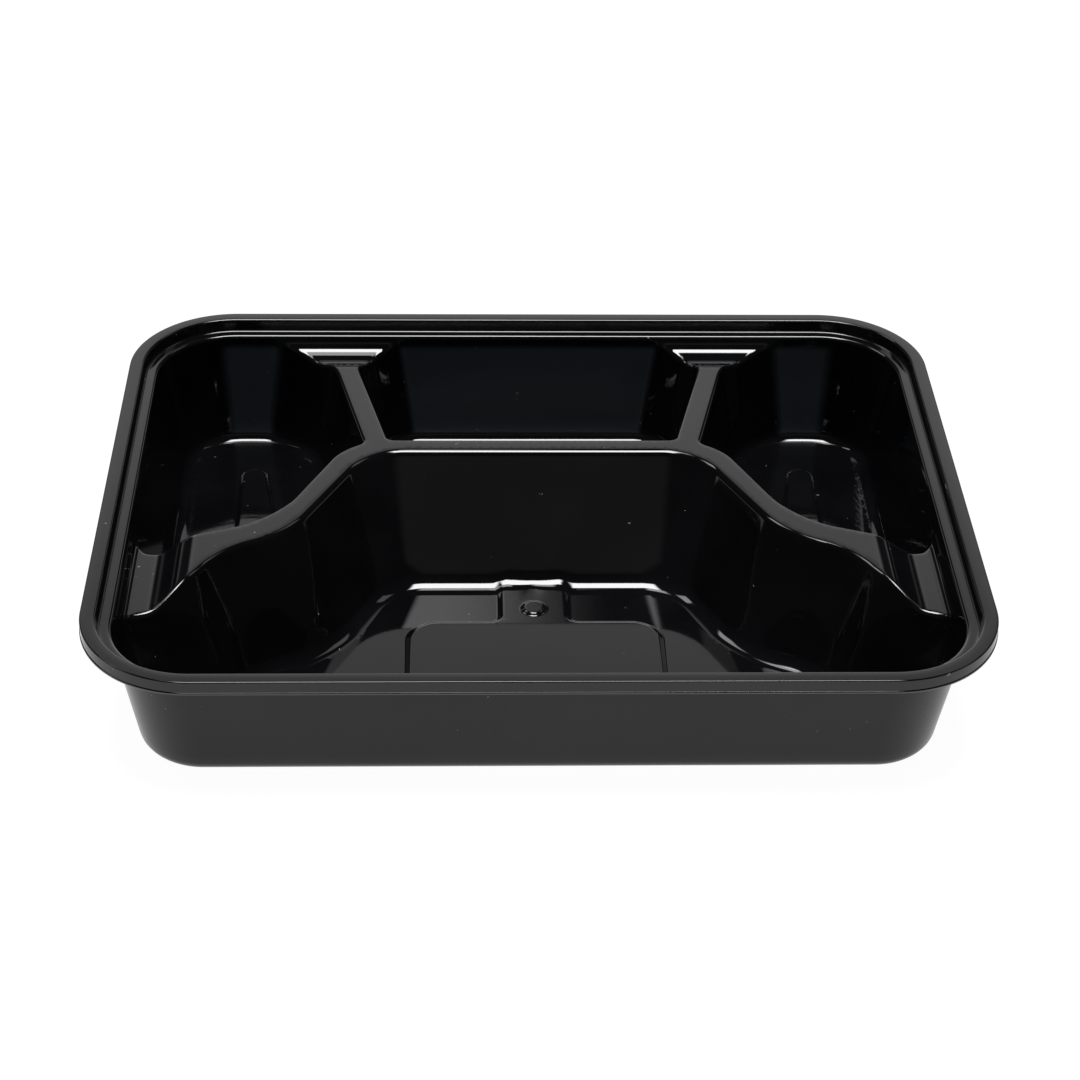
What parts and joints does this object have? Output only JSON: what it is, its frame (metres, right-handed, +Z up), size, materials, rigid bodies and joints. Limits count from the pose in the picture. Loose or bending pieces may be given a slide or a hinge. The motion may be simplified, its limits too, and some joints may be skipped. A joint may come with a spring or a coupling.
{
  "type": "compartment food tray",
  "caption": "Shallow rounded rectangular food tray, thermoformed as one thin black plastic skin, with compartments parted by ridges and a stepped rim for a lid.",
  "frame": {"origin": "centre of the tray's bounding box in plan, on the plane that its flat base stands on", "axes": "+X along the long side to the right, +Y to the back, where the three small compartments are, +Z up"},
  "size_m": [0.265, 0.205, 0.043],
  "materials": {
    "black_plastic": "gloss inside, satin outside"
  },
  "bodies": {
    "root": {"tray": "black_plastic"}
  },
  "joints": []
}
